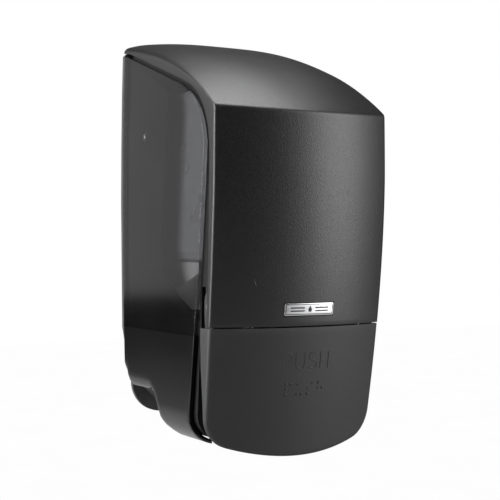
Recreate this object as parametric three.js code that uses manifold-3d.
// Wall mounted liquid soap dispenser, in millimetres.
// +Z is up, +X is to the right of someone facing it, and the front faces -Y.
// The origin is on the wall face of the back plate, on the centre line, at mid height of the refill bay.
// The body is one bulged, tapering envelope. Its shells are cut into a grained front cover, two smoked side
// panels, the frame that carries them, and a push lever. Behind them a wall plate holds the refill and its pump.
import * as THREE from "three";
import { ConvexGeometry } from "three/addons/geometries/ConvexGeometry.js";
import { mergeVertices } from "three/addons/utils/BufferGeometryUtils.js";
import Module from "manifold-3d";

const wasm = await Module();
wasm.setup();

// ---- Overall shape of the body ----
const WIDTH = 97; // widest point of the sides
const DEPTH = 111.5; // wall face to the front edge at the crease
const BULGE = 11; // how far the front face stands proud of its side edges
const CREASE_Z = 67.6; // edge between the front face and the roof
const ROOF_RISE = 42.2; // roof edge at the wall, above the crease
const CROWN = 4.8; // roof height at the centre line, above its side edge, at the wall
const ROOF_HUMP = 3; // extra crown half way along the roof
const CREASE_DIP = 1.8; // crease height lost at the centre line
const SEAM_Z = -36.6; // line between front cover and push lever
const BOTTOM_Z = -100.1; // lowest point, at the centre line
const LEAN = 6.1; // how far the front has leaned back at the seam
const LEAN_START_Z = 40;
const SIDE_BOW = 0.00015; // sides bow out by this times height squared
const BOW_Z = 25; // height of the widest point
const CORNER_R = 16; // bottom corners, seen from the front
const CORNER_Z = -79.5; // where the bottom corners start
const ROOF_FILLET = 4; // roof to side edge
const FRONT_FILLET = 1.6; // front face to side edge

// ---- Walls and gaps ----
const COVER_WALL = 2.4;
const PANEL_WALL = 2.2;
const LEVER_WALL = 3;
const FRAME_WALL = 2;
const PLATE = 2.4; // back plate
const FIT = 0.3; // clearance between pieces that touch
const SEAM_GAP = 0.6;
const REAR_GAP = 0.5; // back plate to the rear edge of the cover and panels
const FRAME_INSET = COVER_WALL + FIT;
const FRAME_INNER = FRAME_INSET + FRAME_WALL;

// ---- Cover edges seen from the side ----
const CHEEK = 5.2; // width of the cover's side cheek beside the front edge
const SHADOW_GAP = 5.6; // dark gap between cheek and side panel, at the front
const GAP_SPREAD = 20; // how far the panel edge falls back towards the bottom
const CHEEK_REAR_Z = CREASE_Z + ROOF_RISE - 0.9;
const PANEL_REAR_Z = CHEEK_REAR_Z - 2.1;

// ---- Hinge, lever and pump ----
const HINGE_Y = -22;
const HINGE_Z = -65;
const NOTCH_R = 8; // rounding of the panels' rear bottom corner
const HINGE_PIN_R = 3;
const HINGE_HEAD_R = 4.6;
const BUSH_WALL = 1.7;
const PIVOT_SETBACK = 12; // lever pivot behind the front edge
const PIVOT_Z = -27;
const PIVOT_PIN_R = 2;
const PUMP_Y = -DEPTH + 63;
const NECK_R = 13.8;
const STEM_R = 4.3;
const FLANGE_R = 15;
const FLANGE_Z = -52.5; // underside of the pump flange
const FLANGE_T = 3;
const BOTTLE_BOTTOM_Z = -6;
const BOTTLE_TOP_Z = CREASE_Z + 14.4;
const BOTTLE_WALL = 1.4;
const BOTTLE_FRONT_GAP = 29; // bottle to the front edge of the body
const SOAP_LEVEL_Z = BOTTLE_TOP_Z - 22;
const SCREW_R = 1.4;

// ---------------------------------------------------------------- solids
function solid(geometry) {
  const bare = new THREE.BufferGeometry();
  bare.setAttribute("position", geometry.getAttribute("position").clone());
  if (geometry.index) bare.setIndex(geometry.index.clone());
  const merged = mergeVertices(bare, 1e-4);
  return new wasm.Manifold(
    new wasm.Mesh({
      numProp: 3,
      vertProperties: new Float32Array(merged.attributes.position.array),
      triVerts: new Uint32Array(merged.index.array),
    }),
  );
}

function geometryOf(manifold) {
  const mesh = manifold.getMesh();
  const geometry = new THREE.BufferGeometry();
  geometry.setAttribute("position", new THREE.BufferAttribute(new Float32Array(mesh.vertProperties), 3));
  geometry.setIndex(new THREE.BufferAttribute(new Uint32Array(mesh.triVerts), 1));
  return geometry;
}

const group = new THREE.Group();

function add(name, manifold, material) {
  const flat = geometryOf(manifold).toNonIndexed();
  flat.computeVertexNormals();
  const mesh = new THREE.Mesh(flat, material);
  mesh.name = name;
  group.add(mesh);
}

function box(x0, x1, y0, y1, z0, z1) {
  const g = new THREE.BoxGeometry(x1 - x0, y1 - y0, z1 - z0);
  g.translate((x0 + x1) / 2, (y0 + y1) / 2, (z0 + z1) / 2);
  return solid(g);
}

// Cylinders along each axis, and a cone or cylinder along Z with its own two radii.
function cylinderX(r, x0, x1, y, z, sides = 24) {
  const g = new THREE.CylinderGeometry(r, r, Math.abs(x1 - x0), sides);
  g.rotateZ(Math.PI / 2).translate((x0 + x1) / 2, y, z);
  return solid(g);
}

function cylinderY(r, x, y0, y1, z, sides = 24) {
  const g = new THREE.CylinderGeometry(r, r, y1 - y0, sides);
  g.translate(x, (y0 + y1) / 2, z);
  return solid(g);
}

function cylinderZ(r, z0, z1, x = 0, y = PUMP_Y, sides = 24, topR = r) {
  const g = new THREE.CylinderGeometry(topR, r, z1 - z0, sides);
  g.rotateX(Math.PI / 2).translate(x, y, (z0 + z1) / 2);
  return solid(g);
}

// A (y, z) outline pushed through the body from x0 to x1.
function prismX(points, x0, x1) {
  const shape = new THREE.Shape(points.map(([y, z]) => new THREE.Vector2(y, z)));
  const g = new THREE.ExtrudeGeometry(shape, { depth: x1 - x0, bevelEnabled: false });
  const turn = new THREE.Matrix4().makeBasis(
    new THREE.Vector3(0, 1, 0),
    new THREE.Vector3(0, 0, 1),
    new THREE.Vector3(1, 0, 0),
  );
  g.applyMatrix4(turn).translate(x0, 0, 0);
  return solid(g);
}

// An (x, z) outline pushed from y0 to y1.
function prismY(shape, y0, y1, curveSegments = 6) {
  const g = new THREE.ExtrudeGeometry(shape, { depth: y1 - y0, bevelEnabled: false, curveSegments });
  g.rotateX(Math.PI / 2).translate(0, y1, 0);
  return solid(g);
}

const mirror = (manifold) => manifold.mirror([1, 0, 0]);
const pointsOf = (curvePath, divisions) => curvePath.getPoints(divisions).map((p) => [p.x, p.y]);

// ---------------------------------------------------------------- body envelope
const halfWidth = (z) => WIDTH / 2 - SIDE_BOW * (z - BOW_Z) ** 2;
const cornerCentreX = halfWidth(CORNER_Z) - CORNER_R;
const CORNER_START = THREE.MathUtils.degToRad(18); // where the flat-ish bottom turns into the corner
const bottomRise = (CORNER_Z - CORNER_R * Math.cos(CORNER_START) - BOTTOM_Z) /
  (cornerCentreX + CORNER_R * Math.sin(CORNER_START)) ** 2;

function frontEdgeY(z) {
  const fallen = Math.max(0, (LEAN_START_Z - z) / (LEAN_START_Z - SEAM_Z));
  return -DEPTH + LEAN * fallen ** 1.6;
}

// A point of the skin. u runs across from -1 to 1. v runs from the wall (0) over the roof to the crease (1)
// and down the front to the bottom (2), which is at bottomZ for that u.
function skinPoint(u, v, bottomZ) {
  if (v <= 1) {
    const proud = 1 - Math.abs(u) ** (4 - 2 * v);
    const forward = v ** 1.5;
    const lift = CROWN * (1 - forward) + ROOF_HUMP * 4 * v * (1 - v) - CREASE_DIP * forward;
    const y = -DEPTH * v - BULGE * forward * proud;
    return [y, CREASE_Z + ROOF_RISE * (1 - 0.5 * v - 0.5 * v ** 3) + lift * proud];
  }
  const proud = 1 - u * u;
  const top = CREASE_Z - CREASE_DIP * proud;
  const z = top + (bottomZ - top) * (v - 1);
  return [frontEdgeY(z) - BULGE * proud, z];
}

// The same point moved inwards by inset, square to the skin, and mitred at the crease.
function insetPoint(u, v, bottomZ, inset) {
  const normal = (a, b) => {
    const [y0, z0] = skinPoint(u, a, bottomZ);
    const [y1, z1] = skinPoint(u, b, bottomZ);
    const length = Math.hypot(y1 - y0, z1 - z0);
    return [-(z1 - z0) / length, (y1 - y0) / length];
  };
  const step = 1e-3;
  const before = v > 0 ? normal(v - step, v) : normal(0, step);
  const after = v < 2 ? normal(v + 1e-6, v + step) : before;
  const share = inset / (1 + before[0] * after[0] + before[1] * after[1]);
  const [y, z] = skinPoint(u, v, bottomZ);
  return [y + (before[0] + after[0]) * share, z + (before[1] + after[1]) * share];
}

const ROOF_STEPS = [0, 0.12, 0.26, 0.42, 0.58, 0.72, 0.84, 0.93, 1];
const FRONT_STEPS = [1.1, 1.24, 1.38, 1.5, 1.62, 1.74, 1.87, 2];

// The whole body as a convex solid, moved inwards by inset, reaching back to rearY.
function envelope(inset, rearY) {
  const cornerR = CORNER_R - inset;
  const side = halfWidth(CORNER_Z) - inset;
  const cornerStation = (angle) => ({
    u: (cornerCentreX + cornerR * Math.sin(angle)) / side,
    bottomZ: CORNER_Z - cornerR * Math.cos(angle),
  });
  const flatEnd = cornerStation(CORNER_START);
  const flatStations = [0, 0.36, 0.7].map((share) => {
    const x = share * flatEnd.u * side;
    return { u: share * flatEnd.u, bottomZ: BOTTOM_Z + inset + bottomRise * x * x };
  });
  const corners = [0.42, 0.62, 0.8].map((share) => cornerStation((share * Math.PI) / 2));
  const points = [];
  const put = (x, y, z) => points.push(new THREE.Vector3(x, y, z), new THREE.Vector3(-x, y, z));
  const runProfile = (station, narrow, drop) => {
    for (const v of [...ROOF_STEPS, ...FRONT_STEPS]) {
      const soft = THREE.MathUtils.smoothstep(v, 0.85, 1);
      const fillet = Math.max(0.4, ROOF_FILLET + (FRONT_FILLET - ROOF_FILLET) * soft - inset);
      const [y, z] = insetPoint(station.u, v, station.bottomZ, v === 2 ? 0 : inset + drop * fillet);
      const back = v === 2 ? y + inset + drop * fillet : y;
      put(station.u * (halfWidth(z) - inset - narrow * fillet), Math.min(back, rearY), z);
    }
    const [, rearTop] = insetPoint(station.u, 0, station.bottomZ, inset + drop * ROOF_FILLET);
    const [, roofZ] = skinPoint(station.u, 0, station.bottomZ);
    const topZ = drop ? roofZ - inset - drop * Math.max(0.4, ROOF_FILLET - inset) : rearTop;
    put(station.u * (halfWidth(topZ) - inset - narrow * ROOF_FILLET), rearY, Math.min(topZ, roofZ - inset));
    put(station.u * (halfWidth(station.bottomZ) - inset), rearY, station.bottomZ);
  };
  [...flatStations, flatEnd, ...corners].forEach((station) => runProfile(station, 0, 0));
  const edge = { u: 1, bottomZ: CORNER_Z };
  runProfile(edge, 1, 0);
  runProfile(edge, 0.29, 0.29);
  runProfile(edge, 0, 1);
  for (const share of [0, 0.2, 0.4, 0.6, 0.8, 1]) {
    const z = CORNER_Z + share * (CREASE_Z - CORNER_Z);
    put(halfWidth(z) - inset, rearY, z);
  }
  return solid(new ConvexGeometry(points));
}

const CUT_REAR = 12; // how far a cutting solid runs past the wall face
const shell = (outer, inner) => envelope(outer, 0).subtract(envelope(inner, CUT_REAR));

// ---------------------------------------------------------------- edges seen from the side
const frontY = (setback) => -DEPTH + setback;
const REAR_Y = -(PLATE + REAR_GAP); // rear edge of everything that swings with the cover

function cheekEdge() {
  const path = new THREE.Path();
  path.moveTo(0, CHEEK_REAR_Z);
  path.lineTo(frontY(CHEEK + 25.8), CREASE_Z + 14.5);
  path.bezierCurveTo(
    frontY(CHEEK + 11.8), CREASE_Z + 9.6,
    frontY(CHEEK), CREASE_Z - 1.6,
    frontY(CHEEK), CREASE_Z - 21.6,
  );
  path.quadraticCurveTo(frontY(CHEEK), (CREASE_Z + SEAM_Z) / 2 - 10, frontEdgeY(SEAM_Z) + CHEEK * 0.62, SEAM_Z);
  return pointsOf(path, 7);
}

function panelEdge() {
  const back = CHEEK + SHADOW_GAP;
  const path = new THREE.Path();
  path.moveTo(0, PANEL_REAR_Z);
  path.lineTo(frontY(back + 28.2), CREASE_Z + 14.8);
  path.bezierCurveTo(
    frontY(back + 12.2), CREASE_Z + 9.2,
    frontY(back + 1.2), CREASE_Z - 1.6,
    frontY(back), CREASE_Z - 17.6,
  );
  path.quadraticCurveTo(frontY(back + 4.2), CORNER_Z + 69.5, frontY(back + GAP_SPREAD), CORNER_Z - 4.5);
  return pointsOf(path, 7);
}

// Moves each point of an open line sideways; positive is towards the outside of the body.
function offsetLine(points, distance) {
  return points.map(([y, z], i) => {
    const [y0, z0] = points[Math.max(0, i - 1)];
    const [y1, z1] = points[Math.min(points.length - 1, i + 1)];
    const length = Math.hypot(y1 - y0, z1 - z0);
    return [y + ((z1 - z0) / length) * distance, z - ((y1 - y0) / length) * distance];
  });
}

const cheek = cheekEdge();
const panelFront = panelEdge();
const [panelFootY] = panelFront[panelFront.length - 1];
const BELOW = BOTTOM_Z - 20;
const ABOVE = CREASE_Z + ROOF_RISE + 40;
const AHEAD = -DEPTH - BULGE - 20;

// Underside of panel and frame: a notch below the hinge, so that they clear the wall as the cover swings.
// Listed from the foot of the front edge to the rear edge, and drawn in by trim.
const NOTCH_Z = HINGE_Z - NOTCH_R;
const NOTCH_FOOT_Y = frontY(63);
function notchLine(trim) {
  const footY = NOTCH_FOOT_Y - trim;
  const radius = NOTCH_R - trim;
  const path = new THREE.Path();
  path.moveTo(footY, BELOW);
  path.lineTo(footY, BOTTOM_Z + 7);
  path.bezierCurveTo(footY + 8, BOTTOM_Z + 10, footY + 6, NOTCH_Z + trim, footY + 18, NOTCH_Z + trim);
  path.absarc(REAR_Y - NOTCH_R, HINGE_Z, radius, -Math.PI / 2, 0, false);
  return pointsOf(path, 7);
}

// ---------------------------------------------------------------- materials
const plastic = (color, roughness) => new THREE.MeshStandardMaterial({ color, roughness, metalness: 0 });
const grainedBlack = plastic(0x232325, 0.5);
const smoked = plastic(0x3b3b3d, 0.08);
smoked.transparent = true;
smoked.opacity = 0.5;
const frameBlack = plastic(0x0c0c0d, 0.4);
const chassisBlack = plastic(0x1b1b1d, 0.55);
const bottleWhite = plastic(0xd9dbdc, 0.4);
const soapTint = plastic(0xe7e2cf, 0.2);
const pumpWhite = plastic(0xececea, 0.35);
const rubber = plastic(0x9a9c9f, 0.8);
const steel = new THREE.MeshStandardMaterial({ color: 0xb9babd, roughness: 0.3, metalness: 1 });
const silver = new THREE.MeshStandardMaterial({ color: 0xb4b5b7, roughness: 0.35, metalness: 0.8 });
const acetal = plastic(0xdadad6, 0.45);

// ---------------------------------------------------------------- front cover
const coverRegion = prismX(
  [
    [REAR_Y, ABOVE],
    [AHEAD, ABOVE],
    [AHEAD, SEAM_Z + SEAM_GAP / 2],
    [cheek[cheek.length - 1][0], SEAM_Z + SEAM_GAP / 2],
    ...cheek.slice(0, -1).reverse().filter(([y]) => y < REAR_Y),
    [REAR_Y, CHEEK_REAR_Z - 1],
  ],
  -WIDTH,
  WIDTH,
);
const BOSS_R = 4;
const BOSS_BORE = SCREW_R + FIT;
const COVER_BOSS_X = WIDTH / 2 - 23;
const BAR_REAR_Y = frontY(11.6);
const BAR_T = 2.6;
const BAR_FRONT_Y = BAR_REAR_Y - BAR_T;
const FRONT_BOSS_Z = SEAM_Z + 22.6;
const ROOF_BOSS_Y = -17;
const ROOF_BOSS_Z = CREASE_Z + ROOF_RISE - 12;
const BADGE = { width: 27.8, height: 6.4, z: SEAM_Z + 8.3, depth: 0.6, proud: 0.3 };
const LOCK_SLOT = { width: 38, depth: 5.2 };

function frontCover() {
  let cover = shell(0, COVER_WALL).intersect(coverRegion);
  const keepInside = envelope(COVER_WALL / 2, 0);
  for (const side of [-1, 1]) {
    const x = side * COVER_BOSS_X;
    const frontBoss = cylinderY(BOSS_R, x, AHEAD, BAR_FRONT_Y - FIT, FRONT_BOSS_Z).intersect(keepInside);
    const roofBoss = cylinderZ(BOSS_R, ROOF_BOSS_Z, ABOVE, x, ROOF_BOSS_Y).intersect(keepInside);
    cover = cover
      .add(frontBoss)
      .add(roofBoss)
      .subtract(cylinderY(BOSS_BORE, x, BAR_FRONT_Y - 9, BAR_FRONT_Y, FRONT_BOSS_Z, 12))
      .subtract(cylinderZ(BOSS_BORE, ROOF_BOSS_Z - 1, ROOF_BOSS_Z + 8, x, ROOF_BOSS_Y, 12));
  }
  const badgeHole = badgeBlock(0).subtract(envelope(BADGE.depth + FIT, CUT_REAR));
  const half = LOCK_SLOT.width / 2;
  const lockSlot = box(-half, half, REAR_Y - LOCK_SLOT.depth, CUT_REAR, CREASE_Z, ABOVE);
  return cover.subtract(badgeHole).subtract(lockSlot);
}

function badgeBlock(trim) {
  const half = BADGE.width / 2 - trim;
  const tall = BADGE.height / 2 - trim;
  return box(-half, half, AHEAD, frontY(0), BADGE.z - tall, BADGE.z + tall);
}

add("front_cover", frontCover(), grainedBlack);
add(
  "badge",
  envelope(-BADGE.proud, 0).subtract(envelope(BADGE.depth, CUT_REAR)).intersect(badgeBlock(FIT)),
  silver,
);

// ---------------------------------------------------------------- side panels
const PANEL_BOSSES = [
  { y: -24, z: CREASE_Z - 8 },
  { y: -60, z: CORNER_Z + 17 },
];
const PANEL_BOSS_R = 3.5;
const PANEL_UNDER_X = WIDTH / 2 - 15; // how far the panel wraps in under the body

const panelRegion = prismX(
  [
    [REAR_Y, PANEL_REAR_Z - 1],
    ...panelFront.filter(([y]) => y < REAR_Y),
    [panelFootY, BELOW],
    ...notchLine(0),
  ],
  PANEL_UNDER_X,
  WIDTH,
);

function sidePanel() {
  let panel = shell(0, PANEL_WALL).intersect(panelRegion);
  for (const { y, z } of PANEL_BOSSES) {
    const outer = halfWidth(z);
    panel = panel
      .add(cylinderX(PANEL_BOSS_R, outer - FRAME_INNER - FIT, outer - PANEL_WALL / 2, y, z, 16))
      .subtract(cylinderX(BOSS_BORE, outer - FRAME_INNER - 1, outer - PANEL_WALL - 0.2, y, z, 10));
  }
  return panel;
}

const rightPanel = sidePanel();
add("side_panel_right", rightPanel, smoked);
add("side_panel_left", mirror(rightPanel), smoked);

// ---------------------------------------------------------------- cover frame
const PIVOT_Y = frontY(PIVOT_SETBACK);
const EAR_TOP_Z = SEAM_Z + 16.6;
const EAR_REAR_Y = PIVOT_Y + 4.6;
const EAR_INNER = FRAME_INNER + 0.2; // lever ears, inside the cover's cheeks
const WINDOW_LAP = 1.2; // rail that shows behind the panel's front edge
const railOuter = offsetLine(cheek, 4).filter(([y, z]) => y < REAR_Y && z > EAR_TOP_Z + 4);

// Front edge of the lower rail, behind the lever's ear and clear of it when the lever is pushed.
const railLower = [
  [EAR_REAR_Y + 1.6, EAR_TOP_Z + 2.5],
  [EAR_REAR_Y + 3, SEAM_Z],
  [EAR_REAR_Y + 5.6, SEAM_Z - 16],
  [EAR_REAR_Y + 8, CORNER_Z + 8],
  [EAR_REAR_Y + 10.6, CORNER_Z - 10],
  [EAR_REAR_Y + 10.6, BELOW],
];

const FRAME_UNDER_X = WIDTH / 2 - 18; // how far the lower rail runs in under the body
const frameRegion = prismX(
  [
    [REAR_Y - FIT, PANEL_REAR_Z + 3],
    ...railOuter,
    [railOuter[railOuter.length - 1][0], EAR_TOP_Z + 2.5],
    ...railLower,
    ...notchLine(0.8),
  ],
  FRAME_UNDER_X,
  WIDTH,
);

// Opening that lets the refill level show through the smoked panel.
function windowOutline() {
  const edge = offsetLine(panelFront, -WINDOW_LAP).filter(([y, z]) => y < -6 && z > SEAM_Z + 2.4);
  const sill = edge[edge.length - 1];
  const path = new THREE.Path();
  path.moveTo(sill[0] + 0.4, SEAM_Z + 1.8);
  path.lineTo(frontY(46.5), SEAM_Z + 13.2);
  path.bezierCurveTo(frontY(56), SEAM_Z + 18, frontY(64.4), SEAM_Z + 25, frontY(64.2), SEAM_Z + 38);
  path.lineTo(frontY(57), CREASE_Z + 8);
  path.quadraticCurveTo(frontY(57.4), CREASE_Z + 14, frontY(67.4), CREASE_Z + 17);
  path.lineTo(-6, CREASE_Z + 33.5);
  return [...edge, ...pointsOf(path, 5)];
}

const APRON = { x: WIDTH / 2 - 13, t: 1.8 }; // screen behind the lever's edge, along the lower rail
const BRIDGE = { y0: -27, y1: REAR_Y - LOCK_SLOT.depth - 0.8 };
const KEEPER = { width: 17, y0: -15.5, y1: -10.4 }; // hole that the lock bolt rises into
const LUG_T = 4.5;
const lugOuterX = halfWidth(PIVOT_Z) - EAR_INNER - 0.4;
const BAR_Z = [PIVOT_Z + 4.4, SEAM_Z + 27.6];

function coverFrame() {
  const skin = shell(FRAME_INSET, FRAME_INNER);
  let side = skin
    .intersect(frameRegion)
    .subtract(prismX(windowOutline(), 0, WIDTH))
    .subtract(cylinderX(HINGE_PIN_R + BUSH_WALL + 2 * FIT, 0, WIDTH, HINGE_Y, HINGE_Z));
  for (const { y, z } of PANEL_BOSSES) {
    side = side.subtract(cylinderX(PANEL_BOSS_R + FIT, 0, WIDTH, y, z, 16));
  }
  const lug = box(lugOuterX - LUG_T, lugOuterX, PIVOT_Y - 5, PIVOT_Y + 5.4, PIVOT_Z - 6, PIVOT_Z + 6);
  const barHalf = halfWidth(SEAM_Z) - FRAME_INNER + 0.9;
  const wideBar = box(-barHalf, barHalf, BAR_FRONT_Y, BAR_REAR_Y, EAR_TOP_Z + 3, BAR_Z[1]);
  const lowBar = box(-lugOuterX, lugOuterX, BAR_FRONT_Y, BAR_REAR_Y, BAR_Z[0], BAR_Z[1]);
  const bridge = skin.intersect(box(-WIDTH, WIDTH, BRIDGE.y0, BRIDGE.y1, CREASE_Z + 20, ABOVE));
  const keeper = box(-KEEPER.width / 2, KEEPER.width / 2, KEEPER.y0, KEEPER.y1, CREASE_Z, ABOVE);
  const apronEdge = railLower.slice(2);
  const apronRear = apronEdge.map(([y, z]) => [y + APRON.t, z]).reverse();
  const apron = envelope(FRAME_INSET, 0).intersect(prismX([...apronEdge, ...apronRear], APRON.x, WIDTH));
  side = side.add(apron);
  const slotRoom = box(-WIDTH, WIDTH, BRIDGE.y1, CUT_REAR, CREASE_Z, ABOVE);
  let frame = side.add(mirror(side)).add(bridge).subtract(slotRoom);
  frame = frame.add(wideBar).add(lowBar).add(lug).add(mirror(lug));
  frame = frame.subtract(keeper).subtract(cylinderX(PIVOT_PIN_R + FIT, -WIDTH, WIDTH, PIVOT_Y, PIVOT_Z, 16));
  for (const x of [-COVER_BOSS_X, COVER_BOSS_X]) {
    frame = frame
      .subtract(cylinderY(BOSS_BORE + 0.2, x, BAR_FRONT_Y - 1, BAR_REAR_Y + 1, FRONT_BOSS_Z, 12))
      .subtract(cylinderZ(BOSS_R + 2 * FIT, CREASE_Z, ABOVE, x, ROOF_BOSS_Y));
  }
  return frame;
}

add("cover_frame", coverFrame(), frameBlack);

// A pan head screw along +X, +Y or +Z: the head starts at seat and stands back from it.
const HEAD_T = 1.6;
const HEAD_R = 2.9;
const SLOT = 0.8; // driver recess

function screwZ(x, y, seat, length, headR = HEAD_R) {
  return cylinderZ(headR, seat - HEAD_T, seat, x, y, 16)
    .add(cylinderZ(SCREW_R, seat - 0.1, seat + length, x, y, 10))
    .subtract(box(x - 2, x + 2, y - 0.4, y + 0.4, seat - HEAD_T - 1, seat - HEAD_T + SLOT));
}

// Screw that points towards the front (-Y), with its head on the wall side.
function screwY(x, z, seat, length) {
  return cylinderY(HEAD_R, x, seat, seat + HEAD_T, z, 16)
    .add(cylinderY(SCREW_R, x, seat - length, seat + 0.1, z, 10))
    .subtract(box(x - 2, x + 2, seat + HEAD_T - SLOT, seat + HEAD_T + 1, z - 0.4, z + 0.4));
}

// Screw that points outwards (+X), with its head inside the body.
function screwX(y, z, seat, length, headR) {
  return cylinderX(headR, seat - HEAD_T, seat, y, z, 16)
    .add(cylinderX(SCREW_R - 0.2, seat - 0.1, seat + length, y, z, 10))
    .subtract(box(seat - HEAD_T - 1, seat - HEAD_T + SLOT, y - 2, y + 2, z - 0.4, z + 0.4));
}

for (const [label, x] of [["left", -COVER_BOSS_X], ["right", COVER_BOSS_X]]) {
  add("cover_front_screw_" + label, screwY(x, FRONT_BOSS_Z, BAR_REAR_Y + FIT, 8), steel);
  add("cover_roof_screw_" + label, screwZ(x, ROOF_BOSS_Y, ROOF_BOSS_Z - FIT, 6.5, 5), steel);
}
PANEL_BOSSES.forEach(({ y, z }, i) => {
  const seat = halfWidth(z) - FRAME_INNER - 2 * FIT;
  const screw = screwX(y, z, seat, FRAME_INNER - PANEL_WALL, 4.6);
  const place = i === 0 ? "upper" : "lower";
  add("panel_screw_right_" + place, screw, steel);
  add("panel_screw_left_" + place, mirror(screw), steel);
});

// ---------------------------------------------------------------- push lever
const LEVER_SIDE = { top: 9.6, middle: 7.6, low: 4.2, foot: 1.8 }; // depth of the lever's side walls
const YOKE_BOSS = { x: 14, z: SEAM_Z - 17.4, rearY: frontY(10.5) };

function pushLever() {
  const top = SEAM_Z - SEAM_GAP / 2;
  const depthAt = (z, depth) => [frontEdgeY(z) + depth, z];
  const rearLine = [
    depthAt(top, LEVER_SIDE.top),
    depthAt(SEAM_Z - 18, LEVER_SIDE.middle),
    depthAt(CORNER_Z + 8, LEVER_SIDE.low),
    depthAt(CORNER_Z - 6, LEVER_SIDE.foot),
    [frontEdgeY(CORNER_Z - 6) + LEVER_SIDE.foot, BELOW],
  ];
  const front = prismX([[AHEAD, BELOW], [AHEAD, top], ...rearLine], -WIDTH, WIDTH);
  const earShape = prismX(
    [
      [PIVOT_Y - 4.4, EAR_TOP_Z],
      [PIVOT_Y - 4.4, SEAM_Z - 22],
      [EAR_REAR_Y - 4.4, SEAM_Z - 22],
      [EAR_REAR_Y, SEAM_Z - 1],
      [EAR_REAR_Y, EAR_TOP_Z],
    ],
    lugOuterX + FIT,
    WIDTH,
  );
  const ear = shell(FRAME_INSET, EAR_INNER).intersect(earShape);
  const keepInside = envelope(LEVER_WALL / 2, 0);
  let lever = shell(0, LEVER_WALL).intersect(front).add(ear).add(mirror(ear));
  for (const x of [-YOKE_BOSS.x, YOKE_BOSS.x]) {
    lever = lever
      .add(cylinderY(4.5, x, AHEAD, YOKE_BOSS.rearY, YOKE_BOSS.z).intersect(keepInside))
      .subtract(cylinderY(BOSS_BORE, x, YOKE_BOSS.rearY - 8, YOKE_BOSS.rearY + 1, YOKE_BOSS.z, 12));
  }
  return lever.subtract(cylinderX(PIVOT_PIN_R + FIT, -WIDTH, WIDTH, PIVOT_Y, PIVOT_Z, 16));
}

add("push_lever", pushLever(), grainedBlack);

// Fork that turns the push into a lift under the pump flange.
const FORK = { inner: 11.5, outer: 15.5, tipY: PUMP_Y + 6, topZ: FLANGE_Z - 2.7, height: 4, plate: 3 };

function leverYoke() {
  const plateY = YOKE_BOSS.rearY + FIT;
  const plate = box(-19, 19, plateY, plateY + FORK.plate, FORK.topZ - 7, SEAM_Z - 9.4);
  const arm = box(FORK.inner, FORK.outer, plateY, FORK.tipY, FORK.topZ - FORK.height, FORK.topZ);
  const nub = prismX(
    [
      [PUMP_Y - 3.5, FORK.topZ - 1],
      [PUMP_Y - 2, FLANGE_Z - FIT],
      [PUMP_Y + 2, FLANGE_Z - FIT],
      [PUMP_Y + 3.5, FORK.topZ - 1],
    ].reverse(),
    FORK.inner,
    FORK.outer,
  );
  const web = prismX(
    [
      [plateY + 1, FORK.topZ - 1],
      [plateY + 24, FORK.topZ - 1],
      [plateY + 1, SEAM_Z - 9.4],
    ],
    FORK.inner,
    FORK.inner + 2,
  );
  const half = arm.add(nub).add(web);
  let yoke = plate.add(half).add(mirror(half));
  for (const x of [-YOKE_BOSS.x, YOKE_BOSS.x]) {
    yoke = yoke
      .subtract(cylinderY(HEAD_R + FIT, x, plateY + FORK.plate, plateY + 12, YOKE_BOSS.z, 16))
      .subtract(cylinderY(BOSS_BORE + 0.2, x, plateY - 1, plateY + 4, YOKE_BOSS.z, 12));
  }
  return yoke;
}

add("lever_yoke", leverYoke(), acetal);
for (const [label, side] of [["left", -1], ["right", 1]]) {
  const seat = YOKE_BOSS.rearY + FORK.plate + 2 * FIT;
  add("yoke_screw_" + label, screwY(side * YOKE_BOSS.x, YOKE_BOSS.z, seat, 9), steel);
}

// ---------------------------------------------------------------- pivot pins, hinge pins and bushes
function pinX(r, headR, x0, x1, y, z) {
  return cylinderX(r, x0, x1, y, z, 16).add(cylinderX(headR, x0 - 1.6, x0, y, z, 16));
}

const CHASSIS_HALF = WIDTH / 2 - 9.5; // outer face of the back plate's side walls
const CHASSIS_WALL = 2.2;
const frameOuterX = halfWidth(HINGE_Z) - FRAME_INSET;
const frameInnerX = halfWidth(HINGE_Z) - FRAME_INNER;
const leverPin = pinX(PIVOT_PIN_R, 3.2, lugOuterX - LUG_T - FIT, halfWidth(PIVOT_Z) - FRAME_INSET, PIVOT_Y, PIVOT_Z);
const hingePinStart = CHASSIS_HALF - CHASSIS_WALL - FIT;
const hingePin = pinX(HINGE_PIN_R, HINGE_HEAD_R, hingePinStart, frameOuterX - FIT, HINGE_Y, HINGE_Z);
const bush = cylinderX(HINGE_PIN_R + FIT + BUSH_WALL, frameInnerX - 0.4, frameOuterX - FIT, HINGE_Y, HINGE_Z)
  .subtract(cylinderX(HINGE_PIN_R + FIT, 0, WIDTH, HINGE_Y, HINGE_Z));
add("lever_pin_right", leverPin, steel);
add("lever_pin_left", mirror(leverPin), steel);
add("hinge_pin_right", hingePin, steel);
add("hinge_pin_left", mirror(hingePin), steel);
add("hinge_bush_right", bush, acetal);
add("hinge_bush_left", mirror(bush), acetal);

// ---------------------------------------------------------------- back plate
const CHASSIS_TOP_Z = CREASE_Z + 24;
const CHASSIS_BOTTOM_Z = CORNER_Z - 4.5;
const TRAY_DEPTH = 22;
const WALL_SCREWS = { x: 26, upperZ: CREASE_Z - 5.6, lowerZ: -42, r: 2.6 };

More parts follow.
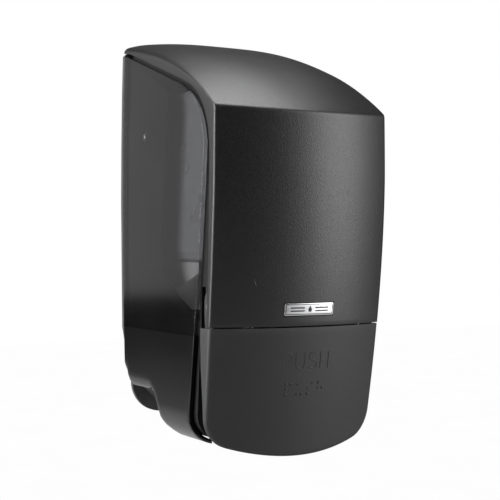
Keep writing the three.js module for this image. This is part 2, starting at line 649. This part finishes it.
function backOutline() {
  const shape = new THREE.Shape();
  const cornerR = 17;
  const foot = CORNER_Z + 7.6;
  const roofAt = (u) => skinPoint(u, 0, CORNER_Z)[1] - 1.5;
  const side = (z) => halfWidth(z) - FIT;
  const roof = [1, 0.9, 0.72, 0.45, 0].map((u) => [u * side(roofAt(1)), roofAt(u) - (u === 1 ? 3 : 0)]);
  const footHalf = WIDTH / 2 - 6.1;
  const flank = [foot, foot + 30, BOW_Z, BOW_Z + 30, BOW_Z + 60].map((z) => [side(z), z]);
  flank[0][0] = footHalf;
  shape.moveTo(0, foot - cornerR);
  shape.lineTo(footHalf - cornerR, foot - cornerR);
  shape.absarc(footHalf - cornerR, foot, cornerR, -Math.PI / 2, 0, false);
  [...flank.slice(1), ...roof].forEach(([x, z]) => shape.lineTo(x, z));
  [...roof.slice(0, -1)].reverse().forEach(([x, z]) => shape.lineTo(-x, z));
  [...flank].reverse().forEach(([x, z]) => shape.lineTo(-x, z));
  shape.absarc(-footHalf + cornerR, foot, cornerR, Math.PI, 1.5 * Math.PI, false);
  return shape;
}

function roundedTray(inset) {
  const half = CHASSIS_HALF - inset;
  const [low, high] = [CHASSIS_BOTTOM_Z + inset, CHASSIS_TOP_Z - inset];
  const [lowR, highR] = [20 - inset, 8 - inset];
  const shape = new THREE.Shape();
  shape.moveTo(-half + lowR, low);
  shape.absarc(half - lowR, low + lowR, lowR, -Math.PI / 2, 0, false);
  shape.absarc(half - highR, high - highR, highR, 0, Math.PI / 2, false);
  shape.absarc(-half + highR, high - highR, highR, Math.PI / 2, Math.PI, false);
  shape.absarc(-half + lowR, low + lowR, lowR, Math.PI, 1.5 * Math.PI, false);
  return shape;
}

function backPlate() {
  const tray = prismY(roundedTray(0), -TRAY_DEPTH, -PLATE / 2)
    .subtract(prismY(roundedTray(CHASSIS_WALL), -TRAY_DEPTH - 1, -PLATE));
  let plate = prismY(backOutline(), -PLATE, 0).add(tray);
  for (const side of [-1, 1]) {
    const inner = side * (CHASSIS_HALF - CHASSIS_WALL);
    const outer = side * CHASSIS_HALF;
    const [x0, x1] = [Math.min(inner, outer), Math.max(inner, outer)];
    plate = plate
      .add(cylinderX(8, x0, x1, HINGE_Y, HINGE_Z))
      .add(box(side * 12 - 0.9, side * 12 + 0.9, -PLATE - 4, -PLATE / 2, 0, CHASSIS_TOP_Z - 18))
      .subtract(cylinderX(HINGE_PIN_R + FIT, x0 - 1, x1 + 1, HINGE_Y, HINGE_Z))
      .subtract(cylinderX(HINGE_HEAD_R + FIT, inner - side * 4, inner, HINGE_Y, HINGE_Z));
    for (const z of [WALL_SCREWS.upperZ, WALL_SCREWS.lowerZ]) {
      plate = plate
        .add(cylinderY(6.5, side * WALL_SCREWS.x, -PLATE - 2, -PLATE / 2, z))
        .subtract(cylinderY(WALL_SCREWS.r, side * WALL_SCREWS.x, -10, 1, z, 16));
    }
  }
  const sill = box(-CHASSIS_HALF, CHASSIS_HALF, -TRAY_DEPTH - 1, -9, CHASSIS_TOP_Z - 3, CHASSIS_TOP_Z + 1);
  return plate.subtract(sill.intersect(box(-LOCK_SLOT.width / 2, LOCK_SLOT.width / 2, -40, 0, 0, ABOVE)))
    .subtract(box(-15, 15, -9, -PLATE - FIT, CHASSIS_TOP_Z - 4, CHASSIS_TOP_Z + 2));
}

add("back_plate", backPlate(), chassisBlack);

// ---------------------------------------------------------------- lock
const GUIDE = { half: 14, frontY: -10.3, z0: CHASSIS_TOP_Z - 13.6, z1: CHASSIS_TOP_Z - 4.6 };
const BOLT = { half: 9, frontY: -6.8, rearY: -3.3, topZ: CREASE_Z + ROOF_RISE + 1.2 };
const KEEPER_UNDER_Z = CREASE_Z + ROOF_RISE - 3; // top of the tooth at rest, just under the frame's bridge
const seatY = -PLATE - FIT;

const lockGuide = box(-GUIDE.half, GUIDE.half, GUIDE.frontY, seatY, GUIDE.z0, GUIDE.z1)
  .subtract(box(-BOLT.half - FIT, BOLT.half + FIT, BOLT.frontY - FIT, CUT_REAR, GUIDE.z0 + 2, GUIDE.z1 + 1))
  .subtract(cylinderY(SCREW_R + 0.5, -GUIDE.half + 2.4, -12, 0, GUIDE.z1 - 3, 12))
  .subtract(cylinderY(SCREW_R + 0.5, GUIDE.half - 2.4, -12, 0, GUIDE.z1 - 3, 12));
const lockBolt = box(-BOLT.half, BOLT.half, BOLT.frontY, BOLT.rearY, GUIDE.z0 + 2 + FIT, BOLT.topZ)
  .add(box(-BOLT.half + 1.5, BOLT.half - 1.5, KEEPER.y0 + 1, BOLT.frontY + 1, KEEPER_UNDER_Z - 6, KEEPER_UNDER_Z - 3))
  .add(box(-BOLT.half + 1.5, BOLT.half - 1.5, KEEPER.y0 + 1, KEEPER.y1 - 1, KEEPER_UNDER_Z - 6, KEEPER_UNDER_Z));
add("lock_guide", lockGuide, chassisBlack);
add("lock_bolt", lockBolt, frameBlack);

// Short screws that hold the guide and the neck bracket to the back plate, heads on the room side.
function plateScrew(x, z, seat) {
  return cylinderY(1.9, x, seat - HEAD_T, seat, z, 14)
    .add(cylinderY(SCREW_R, x, seat - 0.1, -PLATE - FIT / 2, z, 10));
}

for (const [label, side] of [["left", -1], ["right", 1]]) {
  const x = side * (GUIDE.half - 2.4);
  add("lock_screw_" + label, plateScrew(x, GUIDE.z1 - 3, GUIDE.frontY - FIT), steel);
}

// ---------------------------------------------------------------- neck bracket
const BRACKET = { half: CHASSIS_HALF - CHASSIS_WALL - 2.3, t: 3.4, frontY: PUMP_Y - 19, drop: 27 };
const bracketTopZ = BOTTLE_BOTTOM_Z - FIT;
const bracketLowZ = bracketTopZ - BRACKET.t;

function neckBracket() {
  const rearY = seatY;
  const shelf = box(-BRACKET.half, BRACKET.half, BRACKET.frontY, rearY, bracketLowZ, bracketTopZ);
  const flange = box(-BRACKET.half, BRACKET.half, rearY - 2.6, rearY, bracketTopZ - BRACKET.drop, bracketTopZ);
  const gusset = prismX(
    [
      [rearY, bracketTopZ - BRACKET.drop],
      [rearY, bracketTopZ - 1],
      [BRACKET.frontY, bracketTopZ - 1],
      [BRACKET.frontY, bracketLowZ - 2],
    ],
    BRACKET.half - 2.2,
    BRACKET.half,
  );
  const slotHalf = NECK_R + 2 * FIT;
  const slot = cylinderZ(slotHalf, bracketLowZ - 1, bracketTopZ + 1, 0, PUMP_Y, 28)
    .add(box(-slotHalf, slotHalf, BRACKET.frontY - 1, PUMP_Y, bracketLowZ - 1, bracketTopZ + 1));
  let bracket = shelf.add(flange).add(gusset).add(mirror(gusset)).subtract(slot);
  for (const x of [-22, 22]) {
    bracket = bracket.subtract(cylinderY(SCREW_R + 0.5, x, rearY - 4, rearY + 1, bracketLowZ - 12, 12));
  }
  return bracket;
}

add("neck_bracket", neckBracket(), chassisBlack);
for (const [label, x] of [["left", -22], ["right", 22]]) {
  add("bracket_screw_" + label, plateScrew(x, bracketLowZ - 12, seatY - 2.6 - FIT), steel);
}

// ---------------------------------------------------------------- refill bottle
const BOTTLE = { half: CHASSIS_HALF - CHASSIS_WALL - 0.5, rearY: -12, frontY: -DEPTH + BOTTLE_FRONT_GAP };

// Rounded block with its (y, z) corners in turn: low rear, low front, high front, high rear.
function bottleBlock(inset, topZ = BOTTLE_TOP_Z - inset) {
  const [rear, front, low] = [BOTTLE.rearY - inset, BOTTLE.frontY + inset, BOTTLE_BOTTOM_Z + inset];
  const [lowR, frontR, rearR] = [9 - inset, 24 - inset, 12 - inset];
  const shape = new THREE.Shape();
  shape.moveTo(front + lowR, low);
  shape.absarc(rear - lowR, low + lowR, lowR, -Math.PI / 2, 0, false);
  shape.absarc(rear - rearR, topZ - rearR, rearR, 0, Math.PI / 2, false);
  shape.absarc(front + frontR, topZ - frontR, frontR, Math.PI / 2, Math.PI, false);
  shape.absarc(front + lowR, low + lowR, lowR, Math.PI, 1.5 * Math.PI, false);
  const bevel = 5 - inset;
  const half = BOTTLE.half - inset;
  const g = new THREE.ExtrudeGeometry(shape, {
    depth: 2 * (half - bevel),
    bevelEnabled: true,
    bevelThickness: bevel,
    bevelSize: bevel,
    bevelOffset: -bevel,
    bevelSegments: 2,
    curveSegments: 5,
  });
  const turn = new THREE.Matrix4().makeBasis(
    new THREE.Vector3(0, 1, 0),
    new THREE.Vector3(0, 0, 1),
    new THREE.Vector3(1, 0, 0),
  );
  g.applyMatrix4(turn).translate(-half + bevel, 0, 0);
  return solid(g);
}

const NECK_END_Z = BOTTLE_BOTTOM_Z - 18;
const NECK_WALL = 2;
const bottle = bottleBlock(0)
  .add(cylinderZ(NECK_R, NECK_END_Z, BOTTLE_BOTTOM_Z + 1, 0, PUMP_Y, 28))
  .subtract(bottleBlock(BOTTLE_WALL))
  .subtract(cylinderZ(NECK_R - NECK_WALL, NECK_END_Z - 1, BOTTLE_BOTTOM_Z + 3, 0, PUMP_Y, 28));
const TUBE_R = 7;
const TUBE_TOP_Z = BOTTLE_BOTTOM_Z + 19;
const soap = bottleBlock(BOTTLE_WALL + FIT)
  .intersect(box(-WIDTH, WIDTH, -DEPTH, 0, BOTTLE_BOTTOM_Z, SOAP_LEVEL_Z))
  .subtract(cylinderZ(TUBE_R + FIT, BOTTLE_BOTTOM_Z - 1, TUBE_TOP_Z + FIT));
add("refill_bottle", bottle, bottleWhite);
add("soap_fill", soap, soapTint);

// ---------------------------------------------------------------- cap and pump
const CAP_FLOOR_Z = NECK_END_Z - 3;
const cap = cylinderZ(NECK_R + 3.7, CAP_FLOOR_Z, bracketLowZ - 0.5, 0, PUMP_Y, 28)
  .subtract(cylinderZ(NECK_R + FIT, NECK_END_Z - FIT, bracketLowZ + 1, 0, PUMP_Y, 28))
  .subtract(cylinderZ(9.3, CAP_FLOOR_Z - 1, NECK_END_Z + 1));
const pumpTube = cylinderZ(9, CAP_FLOOR_Z - 3, NECK_END_Z + FIT)
  .add(cylinderZ(NECK_R - NECK_WALL - FIT, NECK_END_Z, NECK_END_Z + 2))
  .add(cylinderZ(TUBE_R, NECK_END_Z + 1, TUBE_TOP_Z))
  .subtract(cylinderZ(STEM_R + FIT, CAP_FLOOR_Z - 4, TUBE_TOP_Z + 1));
const flangeTopZ = FLANGE_Z + FLANGE_T;
const NOZZLE_Z = FLANGE_Z - 24;
const actuator = cylinderZ(STEM_R, flangeTopZ - 1, TUBE_TOP_Z - 9)
  .add(cylinderZ(FLANGE_R, FLANGE_Z, flangeTopZ, 0, PUMP_Y, 32))
  .add(cylinderZ(6.6, FLANGE_Z - 14, FLANGE_Z + 1, 0, PUMP_Y, 24, 7.6))
  .add(cylinderZ(4.6, NOZZLE_Z, FLANGE_Z - 13, 0, PUMP_Y, 24, 6.6))
  .subtract(cylinderZ(3.4, NOZZLE_Z - 1, NOZZLE_Z + 5, 0, PUMP_Y, 16));
const valve = cylinderZ(3.1, NOZZLE_Z - 0.8, NOZZLE_Z + 4.6, 0, PUMP_Y, 16)
  .add(cylinderZ(1.6, NOZZLE_Z - 4, NOZZLE_Z - 0.7, 0, PUMP_Y, 16, 2.6));
add("bottle_cap", cap, pumpWhite);
add("pump_cylinder", pumpTube, pumpWhite);
add("pump_actuator", actuator, pumpWhite);
add("outlet_valve", valve, rubber);

// Compression spring between the pump cylinder and the flange.
class SpringCurve extends THREE.Curve {
  constructor(radius, z0, z1, turns) {
    super();
    Object.assign(this, { radius, z0, z1, turns });
  }
  getPoint(t, target = new THREE.Vector3()) {
    const a = 2 * Math.PI * this.turns * t;
    return target.set(
      this.radius * Math.cos(a),
      PUMP_Y + this.radius * Math.sin(a),
      this.z0 + (this.z1 - this.z0) * t,
    );
  }
}

const SPRING = { radius: 6.4, wire: 0.7, turns: 5 };
function pumpSpring() {
  const z0 = flangeTopZ + SPRING.wire + FIT;
  const z1 = CAP_FLOOR_Z - 3 - SPRING.wire - FIT;
  const section = new THREE.Shape();
  section.absarc(0, 0, SPRING.wire, 0, 2 * Math.PI, false);
  const g = new THREE.ExtrudeGeometry(section, {
    steps: SPRING.turns * 9,
    extrudePath: new SpringCurve(SPRING.radius, z0, z1, SPRING.turns),
    curveSegments: 5,
    bevelEnabled: false,
  });
  return solid(g);
}

add("pump_spring", pumpSpring(), steel);

export default group;
